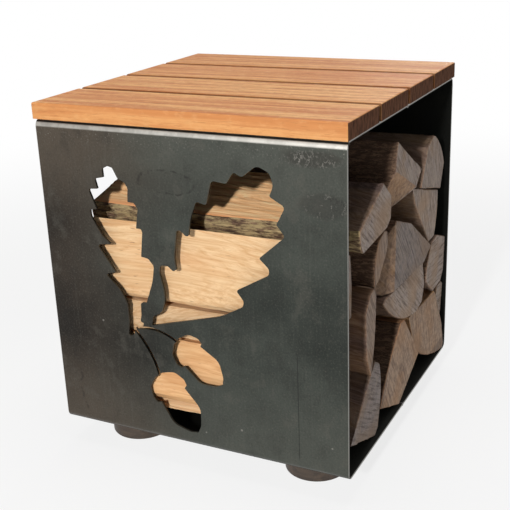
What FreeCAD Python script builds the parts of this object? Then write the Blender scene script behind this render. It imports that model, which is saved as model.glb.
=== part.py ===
import FreeCAD, Part
import math
import os

# Log store bench: a folded steel tube, open at both ends, with a leaf and acorn cut-out in its front,
# a seat of four hardwood slats, four turned wooden feet and a stack of split logs inside.
# Millimetres. The origin is on the floor under the middle of the bench, +Z is up, the front faces -Y.

# Steel body
BODY_WIDTH = 400.0
BODY_DEPTH = 400.0
BODY_HEIGHT = 405.0
SHEET = 3.0
BEND_RADIUS = 10.0
SEAM_GAP = 2.0
WELD_CROWN_WIDTH = 6.0
WELD_CROWN_HEIGHT = 1.0

# Seat slats
SLAT_COUNT = 4
SLAT_THICKNESS = 20.0
SLAT_GAP = 7.5
SLAT_OVERHANG = 1.5
SLAT_ROUNDING = 2.0

# Feet
FOOT_DIAMETER = 80.0
FOOT_HEIGHT = 34.0
FOOT_ROUNDING = 2.5
FOOT_INSET_SIDE = 70.0
FOOT_INSET_FRONT = 70.0

# Screws: pan heads with a crossed slot, driven from inside the bay
SLAT_SCREW_DIAMETER = 4.0
SLAT_SCREW_BITE = 14.0
SLAT_SCREW_INSET = 50.0
FOOT_SCREW_DIAMETER = 6.0
FOOT_SCREW_BITE = 22.0
HEAD_TO_SHANK = 2.1
HEAD_HEIGHT_TO_SHANK = 0.65
HEAD_CROWN = 0.45
SLOT_WIDTH_TO_SHANK = 0.25
SLOT_DEPTH_TO_HEAD = 0.5
SHEET_HOLE_CLEARANCE = 0.3
PILOT_CLEARANCE = 0.1
PILOT_EXTRA_DEPTH = 1.0

# The panel and the bay that the motif and the log stack are drawn on
MOTIF_PANEL_WIDTH = 400.0
MOTIF_PANEL_HEIGHT = 405.0
STACK_BAY_WIDTH = 400.0
STACK_BAY_DEPTH = 394.0
STACK_BAY_HEIGHT = 399.0
STEM_TO_UPPER_ACORN_WIDTH = 3.2
STEM_TO_LOWER_ACORN_WIDTH = 4.0
# Cutting shapes run past the sheet by a margin, a rounded corner takes at most this share of a side,
# and edges closer than this are on one level.
CUT_MARGIN = 2.0
CORNER_REACH = 0.45
SAME_LEVEL = 0.01

# Levels and inner faces that follow from these
BODY_BOTTOM = FOOT_HEIGHT
BODY_TOP = BODY_BOTTOM + BODY_HEIGHT
BAY_FLOOR = BODY_BOTTOM + SHEET
BAY_CEILING = BODY_TOP - SHEET
BAY_DEPTH = BODY_DEPTH - 2 * SHEET
BAY_HEIGHT = BODY_HEIGHT - 2 * SHEET
SLAT_LENGTH = BODY_WIDTH + 2 * SLAT_OVERHANG
SEAT_DEPTH = BODY_DEPTH + 2 * SLAT_OVERHANG
SLAT_WIDTH = (SEAT_DEPTH - (SLAT_COUNT - 1) * SLAT_GAP) / SLAT_COUNT
SLAT_PITCH = SLAT_WIDTH + SLAT_GAP
SLAT_CENTRES = [(i - (SLAT_COUNT - 1) / 2) * SLAT_PITCH for i in range(SLAT_COUNT)]
SLAT_SCREW_PLACES = [
    (side * (BODY_WIDTH / 2 - SLAT_SCREW_INSET), y) for y in SLAT_CENTRES for side in (-1, 1)
]
FOOT_X = BODY_WIDTH / 2 - FOOT_INSET_SIDE
FOOT_Y = BODY_DEPTH / 2 - FOOT_INSET_FRONT
FEET = {
    "foot_front_left": (-FOOT_X, -FOOT_Y),
    "foot_front_right": (FOOT_X, -FOOT_Y),
    "foot_back_left": (-FOOT_X, FOOT_Y),
    "foot_back_right": (FOOT_X, FOOT_Y),
}

# Corners of the motif: x from the panel's middle, z above its lower edge, corner radius.
# Left leaf with its stalk, turned edge-on, clockwise from the end of the stalk.
LEFT_LEAF = [
    (-91, 140, 1.5), (-88.5, 158, 25), (-89, 182, 20), (-99, 200, 25),
    (-118, 217, 2.5), (-102.5, 220.8, 0.6), (-126, 254, 2.5), (-106, 257, 0.6),
    (-118, 267, 20), (-131.5, 290, 8), (-131.5, 298, 2), (-122, 299.5, 0.6),
    (-131.5, 324, 2.5), (-118, 325.2, 0.6), (-121, 337.5, 2), (-108.5, 340.2, 0.6),
    (-109, 350.5, 2), (-101, 354.5, 4), (-94.5, 353, 3), (-88, 340.5, 2),
    (-79, 336.5, 4), (-75, 330, 4), (-76.6, 313, 0.8), (-68, 312.5, 4),
    (-63, 306, 4), (-67.6, 281, 0.8), (-61, 281.2, 2.5), (-59.3, 277, 2),
    (-63.6, 246, 0.8), (-54, 244.8, 6), (-46.5, 236, 7), (-50, 216, 60),
    (-61, 186.5, 1), (-69.5, 185.5, 3), (-70, 170, 30), (-72, 160, 2),
    (-67.8, 159, 1), (-68, 154.6, 1), (-79, 151.5, 2), (-83.5, 140.5, 2.5), (-87.5, 138.5, 2),
]

# Right leaf, seen face on, clockwise from its foot.
RIGHT_LEAF = [
    (-56, 157.5, 1), (-53, 170, 5), (-40, 177, 14), (-34.5, 194, 25),
    (-35, 208, 30), (-39.5, 228, 12), (-38, 238.5, 4.5), (-27, 238.8, 4),
    (-20, 232.8, 3), (-15.5, 235.8, 0.8), (-17.5, 250, 40), (-12, 284.5, 3),
    (-7, 285.5, 3), (0, 279.5, 2), (4, 279.8, 2), (8, 302, 50),
    (16.5, 322.5, 3.5), (29.5, 319.5, 3), (37.5, 349, 5), (56.5, 347, 3),
    (66, 361.5, 4), (76, 356, 5), (95, 371, 9), (110, 364, 10),
    (114.5, 350, 15), (109, 337.5, 2.5), (128, 327, 5), (116.5, 306, 2.5),
    (127, 293, 4), (95.5, 265.5, 2), (94.5, 263.5, 2), (111, 248, 9),
    (63, 220.5, 2.5), (76, 204, 8), (40, 184, 60),
]

# One half of an acorn, from the stalk end to the tip, as shares of its length: along, across, radius.
ACORN_HALF = [
    (0.00, 0.08, 0.03), (0.08, 0.26, 0.14), (0.24, 0.33, 0.08), (0.33, 0.31, 0.02),
    (0.35, 0.25, 0.01), (0.72, 0.285, 0.22), (0.94, 0.11, 0.15),
]
ACORN_TIP_RADIUS = 0.012

# Each acorn from stalk end to tip, and each thin stem as start, middle and end of an arc.
UPPER_ACORN = ((-22.5, 142.0), (38.6, 94.3))
LOWER_ACORN = ((-51.0, 91.5), (0.5, 21.0))
STEM_TO_UPPER_ACORN = ((-79.0, 150.5), (-52.0, 152.5), (-20.0, 140.0))
STEM_TO_LOWER_ACORN = ((-82.0, 149.0), (-61.5, 121.0), (-49.5, 88.0))

# The lowest log lies in front of a foot screw, under the face of log_02 that falls from its front to its low
# corner. Heights and places are those of the log table.
FOOT_SCREW_TO_LOG = 2.2
LOG_SPACE = 0.7
LOG_02_FRONT = (-190, 38)
LOG_02_LOW = (-97, 0.6)
LOG_02_FALL = (LOG_02_FRONT[1] - LOG_02_LOW[1]) / (LOG_02_LOW[0] - LOG_02_FRONT[0])
FOOT_SCREW_FRONT = FOOT_Y + FOOT_SCREW_DIAMETER * HEAD_TO_SHANK / 2
LOG_01_FRONT = -184
LOG_01_BACK = -(FOOT_SCREW_FRONT + FOOT_SCREW_TO_LOG) * STACK_BAY_DEPTH / BAY_DEPTH
LOG_01_TOP = [
    (y, LOG_02_FRONT[1] - (y - LOG_02_FRONT[0]) * LOG_02_FALL - LOG_SPACE) for y in (LOG_01_BACK, LOG_01_FRONT)
]

# Split logs: left end, right end, then the corners of the section as y and z in the bay, counted from the
# middle of its depth and from its floor. A third number is the bulge of the bark side that starts there.
# Resting faces are drawn 0.5 to 1.2 mm apart, because rough logs meet only in a few spots.
LOGS = {
    "log_01": (15, 150, [(-186, 0.6), (LOG_01_BACK, 0.6), *LOG_01_TOP]),
    "log_02": (-128, 200, [
        LOG_02_FRONT, LOG_02_LOW, (-84, 7), (-77, 39, 4.5), (-85, 98), (-104, 109), (-118, 99),
    ]),
    "log_03": (-122, 201, [
        (-72, 25), (-8, 0.6), (66, 0.6), (74, 11), (70, 43), (50, 71), (16, 115.4), (2, 115.2, 6),
    ]),
    "log_04": (-130, 201, [
        (86, 33, 5), (184, 0.6), (190, 7), (182, 42), (158, 89), (146, 107), (38, 108),
        (52.3, 69.2), (68.1, 47),
    ]),
    "log_05": (-118, 196, [
        (182.7, 42.5), (196.4, 55), (196.4, 101), (186, 107.2), (164, 107.2), (158.7, 89.4),
    ]),
    "log_06": (-150, 152, [
        (-196.4, 59), (-190, 49.5), (-178, 48.8), (-141, 80.3, 2), (-140, 133), (-188, 135.5),
    ]),
    "log_07": (-126, 200, [
        (-122, 96.5, 5), (-94, 195), (-102, 203), (-118, 201), (-136.5, 184), (-138.2, 147), (-136, 122),
    ]),
    "log_08": (-120, 199, [(-66, 167, 13), (58, 108.6), (82, 114), (94, 137), (88, 171.6), (-58, 171.6)]),
    "log_09": (-134, 200, [
        (97, 138), (138, 107.7), (182, 107.9), (196.4, 121), (196.4, 173), (150, 190), (119, 187.5, 5),
    ]),
    "log_10": (-165, 150, [(-187, 136.2), (-140.5, 133.8), (-139, 155), (-141, 177), (-186, 179.5, 4)]),
    "log_11": (-130, 201, [(-90, 191), (-52, 172.2), (84, 172.2), (114, 186), (36, 242), (-20, 262, 3)]),
    "log_12": (-162, 182, [(-189, 187), (-185, 180.1), (-140, 177.7, 3), (-138, 255), (-184, 280.8)]),
    "log_13": (-118, 196, [
        (-97.5, 199.7), (-82.1, 204.2), (-54.1, 232.8), (-51, 245), (-56, 261), (-68, 263.9), (-88, 257, 6),
    ]),
    "log_14": (-124, 197, [(118, 188.1), (140, 189.9, 5), (156, 254), (54, 282), (64, 257), (112, 195)]),
    "log_15": (-133, 198, [(72, 277.8), (170, 251.1), (192, 283, 8), (140, 334), (106, 325)]),
    "log_16": (-127, 200, [(-30, 260), (56, 283.2), (84, 301), (-22, 362, 12)]),
    "log_17": (-166, 200, [(-147, 260.9), (-62, 265), (-47, 274), (-48, 303), (-79, 326), (-161, 293, 4)]),
}

os.makedirs("parts", exist_ok=True)


def vec(x, y, z):
    return FreeCAD.Vector(x, y, z)


def arc(start, middle, end):
    return Part.Arc(start, middle, end).toShape()


def line(start, end):
    return Part.makeLine(start, end)


def face_of(edges):
    return Part.Face(Part.Wire(Part.__sortEdges__(edges)))


def rounded_face(corners, place):
    """Face inside a closed outline of (u, v, radius) corners. place turns (u, v) into a point."""
    ends = []
    for i, (u, v, radius) in enumerate(corners):
        before = corners[i - 1]
        after = corners[(i + 1) % len(corners)]
        to_before = (before[0] - u, before[1] - v)
        to_after = (after[0] - u, after[1] - v)
        length_before = math.hypot(*to_before)
        length_after = math.hypot(*to_after)
        cosine = (to_before[0] * to_after[0] + to_before[1] * to_after[1]) / (length_before * length_after)
        half_angle = math.acos(max(-1.0, min(1.0, cosine))) / 2
        longest = CORNER_REACH * min(length_before, length_after)
        reach = min(radius / math.tan(half_angle), longest)
        radius = reach * math.tan(half_angle)
        first = (u + to_before[0] / length_before * reach, v + to_before[1] / length_before * reach)
        last = (u + to_after[0] / length_after * reach, v + to_after[1] / length_after * reach)
        inward = ((first[0] + last[0]) / 2 - u, (first[1] + last[1]) / 2 - v)
        share = (radius / math.sin(half_angle) - radius) / math.hypot(*inward)
        middle = (u + inward[0] * share, v + inward[1] * share)
        ends.append((place(*first), place(*middle), place(*last)))
    edges = []
    for i, (first, middle, last) in enumerate(ends):
        edges.append(line(ends[i - 1][2], first))
        edges.append(arc(first, middle, last))
    return face_of(edges)


def on_front(x, z):
    """A point of the motif, just in front of the steel."""
    motif_x = x * BODY_WIDTH / MOTIF_PANEL_WIDTH
    motif_z = z * BODY_HEIGHT / MOTIF_PANEL_HEIGHT
    return vec(motif_x, -BODY_DEPTH / 2 - CUT_MARGIN, BODY_BOTTOM + motif_z)


def through_front(face):
    return face.extrude(vec(0, SHEET + 2 * CUT_MARGIN, 0))


def leaf_cut(corners):
    return through_front(rounded_face(corners, on_front))


def acorn_cut(stalk_end, tip):
    along = (tip[0] - stalk_end[0], tip[1] - stalk_end[1])
    length = math.hypot(*along)

    def place(u, v):
        x = stalk_end[0] + along[0] * u - along[1] * v
        z = stalk_end[1] + along[1] * u + along[0] * v
        return on_front(x, z)

    other_half = [(u, -v, radius) for u, v, radius in reversed(ACORN_HALF)]
    return through_front(rounded_face(ACORN_HALF + [(1.0, 0.0, ACORN_TIP_RADIUS)] + other_half, place))


def stem_cut(points, width):
    """A slot of even width along an arc through three points."""
    circle = arc(*[on_front(x, z) for x, z in points]).Curve
    outer = []
    inner = []
    for x, z in points:
        spoke = on_front(x, z) - circle.Center
        spoke.normalize()
        outer.append(circle.Center + spoke * (circle.Radius + width / 2))
        inner.append(circle.Center + spoke * (circle.Radius - width / 2))
    edges = [arc(*outer), line(outer[2], inner[2]), arc(*inner), line(inner[0], outer[0])]
    return through_front(face_of(edges))


def shell_half(side):
    """Half of the tube: top, one upright panel and bottom, bent from one sheet. side is -1 front, 1 back."""
    outer_y = BODY_DEPTH / 2
    bend_y = outer_y - BEND_RADIUS
    inner_radius = BEND_RADIUS - SHEET
    diagonal = math.sqrt(0.5)

    def at(y, z):
        return vec(-BODY_WIDTH / 2, side * y, z)

    def bend(radius, upper):
        centre_z = BODY_TOP - BEND_RADIUS if upper else BODY_BOTTOM + BEND_RADIUS
        sense = 1 if upper else -1
        flat_end = at(bend_y, centre_z + sense * radius)
        middle = at(bend_y + radius * diagonal, centre_z + sense * radius * diagonal)
        upright_end = at(bend_y + radius, centre_z)
        return flat_end, middle, upright_end

    seam_y = SEAM_GAP / 2
    outer_top = bend(BEND_RADIUS, True)
    outer_bottom = bend(BEND_RADIUS, False)
    inner_top = bend(inner_radius, True)
    inner_bottom = bend(inner_radius, False)
    edges = [
        line(at(seam_y, BODY_TOP), outer_top[0]),
        arc(*outer_top),
        line(outer_top[2], outer_bottom[2]),
        arc(*outer_bottom),
        line(outer_bottom[0], at(seam_y, BODY_BOTTOM)),
        line(at(seam_y, BODY_BOTTOM), at(seam_y, BAY_FLOOR)),
        line(at(seam_y, BAY_FLOOR), inner_bottom[0]),
        arc(*inner_bottom),
        line(inner_bottom[2], inner_top[2]),
        arc(*inner_top),
        line(inner_top[0], at(seam_y, BAY_CEILING)),
        line(at(seam_y, BAY_CEILING), at(seam_y, BODY_TOP)),
    ]
    shell = face_of(edges).extrude(vec(BODY_WIDTH, 0, 0))
    return shell.cut(Part.makeCompound(sheet_holes(side)))


def sheet_holes(side):
    """Clearance holes for the slat and foot screws on one side of the seam."""
    holes = []
    for x, y in SLAT_SCREW_PLACES:
        if y * side > 0:
            radius = SLAT_SCREW_DIAMETER / 2 + SHEET_HOLE_CLEARANCE
            holes.append(Part.makeCylinder(radius, SHEET + 2 * CUT_MARGIN, vec(x, y, BAY_CEILING - CUT_MARGIN)))
    for x, y in FEET.values():
        if y * side > 0:
            radius = FOOT_SCREW_DIAMETER / 2 + SHEET_HOLE_CLEARANCE
            holes.append(Part.makeCylinder(radius, SHEET + 2 * CUT_MARGIN, vec(x, y, BODY_BOTTOM - CUT_MARGIN)))
    return holes


def front_shell():
    cuts = [
        leaf_cut(LEFT_LEAF),
        leaf_cut(RIGHT_LEAF),
        acorn_cut(*UPPER_ACORN),
        acorn_cut(*LOWER_ACORN),
        stem_cut(STEM_TO_UPPER_ACORN, STEM_TO_UPPER_ACORN_WIDTH),
        stem_cut(STEM_TO_LOWER_ACORN, STEM_TO_LOWER_ACORN_WIDTH),
    ]
    return shell_half(-1).cut(cuts)


def weld(outer_z, inner_z, crown_z):
    """Bead that fills the seam, ground flush on one face and left proud on the other."""
    x = -BODY_WIDTH / 2
    half_gap = SEAM_GAP / 2
    half_crown = WELD_CROWN_WIDTH / 2
    flush_z = outer_z if crown_z == inner_z else inner_z
    proud_z = crown_z + math.copysign(WELD_CROWN_HEIGHT, crown_z - flush_z)
    edges = [
        line(vec(x, -half_gap, flush_z), vec(x, half_gap, flush_z)),
        line(vec(x, half_gap, flush_z), vec(x, half_gap, crown_z)),
        line(vec(x, half_gap, crown_z), vec(x, half_crown, crown_z)),
        arc(vec(x, half_crown, crown_z), vec(x, 0, proud_z), vec(x, -half_crown, crown_z)),
        line(vec(x, -half_crown, crown_z), vec(x, -half_gap, crown_z)),
        line(vec(x, -half_gap, crown_z), vec(x, -half_gap, flush_z)),
    ]
    return face_of(edges).extrude(vec(BODY_WIDTH, 0, 0))


def slat(y):
    """One seat board with eased upper edges and two pilot holes in its underside."""
    board = Part.makeBox(
        SLAT_LENGTH, SLAT_WIDTH, SLAT_THICKNESS, vec(-SLAT_LENGTH / 2, y - SLAT_WIDTH / 2, BODY_TOP)
    )
    seat_level = BODY_TOP + SLAT_THICKNESS
    upper_edges = [e for e in board.Edges if all(abs(v.Z - seat_level) < SAME_LEVEL for v in e.Vertexes)]
    board = board.makeFillet(SLAT_ROUNDING, upper_edges)
    radius = SLAT_SCREW_DIAMETER / 2 + PILOT_CLEARANCE
    depth = SLAT_SCREW_BITE + PILOT_EXTRA_DEPTH
    holes = [
        Part.makeCylinder(radius, depth, vec(x, place_y, BODY_TOP))
        for x, place_y in SLAT_SCREW_PLACES
        if place_y == y
    ]
    return board.cut(holes)


def foot(x, y):
    """A turned disc with eased edges and a pilot hole down from its top."""
    disc = Part.makeCylinder(FOOT_DIAMETER / 2, FOOT_HEIGHT, vec(x, y, 0))
    rims = [e for e in disc.Edges if len(e.Vertexes) == 1]
    disc = disc.makeFillet(FOOT_ROUNDING, rims)
    radius = FOOT_SCREW_DIAMETER / 2 + PILOT_CLEARANCE
    depth = FOOT_SCREW_BITE + PILOT_EXTRA_DEPTH
    return disc.cut(Part.makeCylinder(radius, depth, vec(x, y, FOOT_HEIGHT - depth)))


def screw(diameter, bite, seat, up):
    """A pan head screw whose head lies on the sheet at seat and whose shank runs up or down."""
    sense = 1 if up else -1
    head_radius = diameter * HEAD_TO_SHANK / 2
    head_height = diameter * HEAD_HEIGHT_TO_SHANK
    crown_rise = head_height * HEAD_CROWN
    rim_height = head_height - crown_rise
    crown_radius = (head_radius ** 2 + crown_rise ** 2) / (2 * crown_rise)
    half_turn = math.asin(head_radius / crown_radius) / 2
    crown_drop = crown_radius * (1 - math.cos(half_turn))
    crown_middle = vec(crown_radius * math.sin(half_turn), 0, sense * (crown_drop - head_height))
    tip = SHEET + bite
    taper = diameter
    profile = [
        (0, -head_height), (head_radius, -rim_height), (head_radius, 0), (diameter / 2, 0),
        (diameter / 2, tip - taper), (0, tip),
    ]
    points = [vec(r, 0, sense * z) for r, z in profile]
    edges = [arc(points[0], crown_middle, points[1]), line(points[-1], points[0])]
    edges += [line(a, b) for a, b in zip(points[1:], points[2:])]
    body = face_of(edges).revolve(vec(0, 0, 0), vec(0, 0, 1), 360)
    slot_width = diameter * SLOT_WIDTH_TO_SHANK
    slot_depth = head_height * SLOT_DEPTH_TO_HEAD
    slot_length = head_radius
    low = -head_height if up else head_height - slot_depth
    for length_x, length_y in ((slot_length, slot_width), (slot_width, slot_length)):
        corner = vec(-length_x / 2, -length_y / 2, low)
        body = body.cut(Part.makeBox(length_x, length_y, slot_depth, corner))
    body.translate(seat)
    return body


def slat_screws():
    return [
        screw(SLAT_SCREW_DIAMETER, SLAT_SCREW_BITE, vec(x, y, BAY_CEILING), True)
        for x, y in SLAT_SCREW_PLACES
    ]


def foot_screws():
    return [
        screw(FOOT_SCREW_DIAMETER, FOOT_SCREW_BITE, vec(x, y, BAY_FLOOR), False) for x, y in FEET.values()
    ]


def log(left, right, corners):
    """A split log along X. A corner with a third number starts a bark side that bulges by it."""
    start_x = left * BODY_WIDTH / STACK_BAY_WIDTH
    end_x = right * BODY_WIDTH / STACK_BAY_WIDTH

    def place(y, z):
        return vec(start_x, y * BAY_DEPTH / STACK_BAY_DEPTH, BAY_FLOOR + z * BAY_HEIGHT / STACK_BAY_HEIGHT)

    edges = []
    for i, corner in enumerate(corners):
        y, z = corner[:2]
        next_y, next_z = corners[(i + 1) % len(corners)][:2]
        if len(corner) == 2:
            edges.append(line(place(y, z), place(next_y, next_z)))
            continue
        length = math.hypot(next_y - y, next_z - z)
        out_y = (next_z - z) / length * corner[2]
        out_z = -(next_y - y) / length * corner[2]
        middle = place((y + next_y) / 2 + out_y, (z + next_z) / 2 + out_z)
        edges.append(arc(place(y, z), middle, place(next_y, next_z)))
    return face_of(edges).extrude(vec(end_x - start_x, 0, 0))


nodes = {
    "front_shell": front_shell(),
    "rear_shell": shell_half(1),
    "top_weld": weld(BODY_TOP, BAY_CEILING, BAY_CEILING),
    "bottom_weld": weld(BODY_BOTTOM, BAY_FLOOR, BODY_BOTTOM),
    "slat_screws": Part.makeCompound(slat_screws()),
    "foot_screws": Part.makeCompound(foot_screws()),
}
for number, centre in enumerate(SLAT_CENTRES, 1):
    nodes[f"slat_{number}"] = slat(centre)
for name, (foot_x, foot_y) in FEET.items():
    nodes[name] = foot(foot_x, foot_y)
for name, (left_end, right_end, section) in LOGS.items():
    nodes[name] = log(left_end, right_end, section)

for name, shape in nodes.items():
    shape.exportStep(f"parts/{name}.step")
    print(name, len(shape.Solids), shape.isValid(), round(shape.Volume / 1000, 2), "cm3")
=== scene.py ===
import math
from collections import namedtuple

import bmesh
import bpy
from mathutils import Matrix, Vector


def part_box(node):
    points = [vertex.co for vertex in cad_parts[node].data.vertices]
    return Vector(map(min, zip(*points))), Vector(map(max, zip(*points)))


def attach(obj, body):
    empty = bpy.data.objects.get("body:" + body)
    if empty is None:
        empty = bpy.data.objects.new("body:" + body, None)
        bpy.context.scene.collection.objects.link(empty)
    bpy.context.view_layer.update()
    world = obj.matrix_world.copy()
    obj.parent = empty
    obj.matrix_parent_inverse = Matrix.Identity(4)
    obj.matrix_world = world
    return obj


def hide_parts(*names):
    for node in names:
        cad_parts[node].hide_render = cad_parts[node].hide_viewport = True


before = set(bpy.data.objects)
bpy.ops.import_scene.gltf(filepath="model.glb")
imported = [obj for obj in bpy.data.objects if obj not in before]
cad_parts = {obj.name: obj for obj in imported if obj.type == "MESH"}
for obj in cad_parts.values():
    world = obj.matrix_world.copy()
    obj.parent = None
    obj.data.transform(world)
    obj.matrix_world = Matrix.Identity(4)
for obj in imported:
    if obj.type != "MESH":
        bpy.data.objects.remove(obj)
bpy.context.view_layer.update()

# The log store bench, in metres. The front panel faces -Y, and the logs lie along X.

# Faces and levels taken from the solids
STEEL_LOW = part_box("front_shell")[0]
STEEL_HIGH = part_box("rear_shell")[1]
STEEL_TALL = STEEL_HIGH.z - STEEL_LOW.z
SEAT_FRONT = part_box("slat_1")[0].y
BOARD_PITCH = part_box("slat_2")[0].y - SEAT_FRONT

# The camera stands where the photograph was taken from
CAMERA_PLACE = Vector((0.5496, -1.1017, 0.6674))
CAMERA_AZIMUTH = math.radians(27.05)
CAMERA_ELEVATION = math.radians(19.863)
CAMERA_ROLL = math.radians(-2.247)
CAMERA_LENS = 67.91
CAMERA_SENSOR = 36.0

# A pair such as the next ones says where a mask is 0 and where it is 1.
# Depths behind a front face, below the steel's skin, and in from the steel's cut ends
FRONT_FADE = (0.004, 0.001)
STEEL_INSIDE = (0.0016, 0.0028)
STEEL_CUT_EDGE = (0.0006, 0.0002)

# Steel by its height above the underside: paler away from the middle as painted sheen, with a ragged line,
# rubbed below the bend, a painted highlight on the bend, and a paler upper bend and top face as painted
# reflection
PANEL_MIDDLE = 0.19
PANEL_SHEEN = (0.06, 0.2)
PANEL_RAGGED = 0.07
RUBBED = (STEEL_TALL - 0.033, STEEL_TALL - 0.011)
BEND_HIGHLIGHT_FOOT = (STEEL_TALL - 0.0098, STEEL_TALL - 0.0078)
BEND_HIGHLIGHT_TOP = (STEEL_TALL - 0.0028, STEEL_TALL - 0.0046)
UPPER_BEND_REFLECTION = (STEEL_TALL - 0.006, STEEL_TALL - 0.003)

# Steel along X: where it turns brown, how ragged that line is, and where the painted highlight on the bend is
# stronger
BROWN_SIDE = (0.02, -0.17)
BROWN_RAGGED = 0.2
BEND_HIGHLIGHT_SIDE = (-0.2, 0.12)

# Oval marks on the steel front: middle along X and above the underside, half width, half height, raggedness
OvalMark = namedtuple("OvalMark", "x z half_width half_height ragged")
STAIN_RING = OvalMark(-0.022, 0.342, 0.039, 0.0135, 0.5)
RUST_PATCH = OvalMark(0.176, 0.333, 0.030, 0.015, 0.9)
SCUFF = OvalMark(0.160, 0.383, 0.036, 0.010, 1.3)
LIGHT_SPOTS = (
    OvalMark(0.062, 0.038, 0.0016, 0.0016, 0.2),
    OvalMark(0.180, 0.040, 0.0013, 0.0013, 0.2),
    OvalMark(-0.128, 0.153, 0.0015, 0.0015, 0.2),
    OvalMark(0.012, 0.024, 0.0012, 0.0012, 0.2),
)

# Upright marks on the steel front: place along X, sway, edge, foot and top
DRIP_LINE = -0.172
DRIP_SWAY = 0.05
DRIP_EDGE = (0.003, 0.0004)
DRIP_FOOT = (0.006, 0.016)
DRIP_TOP = (0.14, 0.11)
SCRATCH_LINE = 0.138
SCRATCH_EDGE = (0.0009, 0.0002)
SCRATCH_FOOT = (0.012, 0.02)
SCRATCH_TOP = (0.155, 0.145)

# Ripples of the welds and lathe rings of the feet, in radians per metre, and how far they wander, in radians
WELD_RIPPLES = 1500
WELD_WANDER = 5
LATHE_RINGS = 2600
LATHE_WANDER = 2

# Seat boards: how far the grain sways, and what is added so that a board's front face counts as that board
BOARD_SWAY = 0.012
BOARD_MARGIN = 0.001

# Grain of the logs: sway of fibres and rings, and how both arch around a place that the girth sets
GRAIN_SWAY = 0.03
RING_SWAY = 0.014
ARCH_GIRTH = 0.14
ARCH_SHIFT = 4
ARCH_RISE = 1.5
FIBRE_ARCH = 0.35
RING_ARCH = 0.45
RINGS_PER_METRE = 330.0

# Cracks from the pith: rays per radian, their kinks, and what sets the rays of one girth apart from another's
RAYS_PER_RADIAN = 3.4
RAY_KINK = 1.6
RAY_GIRTH = 90

# Bark: how far its flakes shift the furrows, and how much farther along the log
FLAKE_SHIFT = 0.012
FLAKE_STRETCH = 4

# Distances from the bark, negative toward the pith, and how squarely sawn and torn faces look along X
RED_BAND = (-0.012, -0.004)
INNER_BARK = (-0.003, 0.0)
SAWN_FACING = (0.72, 0.85)
TORN_FACING = (0.94, 0.91)

# Meshes of the logs: distance that merges points, angles that count as flat and as smooth, how squarely an
# end looks along X, steps of the rows along the grain and across it, rims of the sawn ends, corners of faces
MERGE_DISTANCE = 0.00001
FLAT_ANGLE = math.radians(0.4)
SMOOTH_ANGLE = math.radians(40)
END_FACING = 0.8
ROW_ALONG = 0.009
ROW_ACROSS = 0.0024
RIM_WIDTH = 0.003
RIM_MERGE = 0.0012
END_FACE_CORNERS = 8
QUAD_CORNERS = 4

# Reliefs of the logs: depths, the level of a texture that stays in place, and a rim's share of the relief
RELIEF_SIZE = 0.5
FIBRE_DEPTH = 0.0022
WAVE_DEPTH = 0.0024
BARK_DEPTH = 0.0034
SIDE_LEVEL = 0.8
RIM_DEPTH = 0.0035
RIM_LEVEL = 0.2
RIM_SHARE = 0.35

# Half of the turn that bark covers, the X at which the look of a right end, with its painted shade, begins,
# and how soon it is full
BARK_HALF_TURN = math.radians(34)
RIGHT_END_SHADE_FROM = 0.125
RIGHT_END_SHADE_RUN = 0.03

# Each log: bark direction in degrees seen from the right end (0 to the rear, 90 up), distance from bark to
# pith, slopes of the left and right saw cuts along Y and Z, tints of the middle and of the right end, how
# grey the weather has made these two, with the greyer and dimmer right ends as painted shade, how much
# lichen, and the turn of the saw marks in degrees, 0 for upright ones.
LogLook = namedtuple("LogLook", "bark_turn girth left_cut right_cut tints worn lichen saw_turn")
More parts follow.
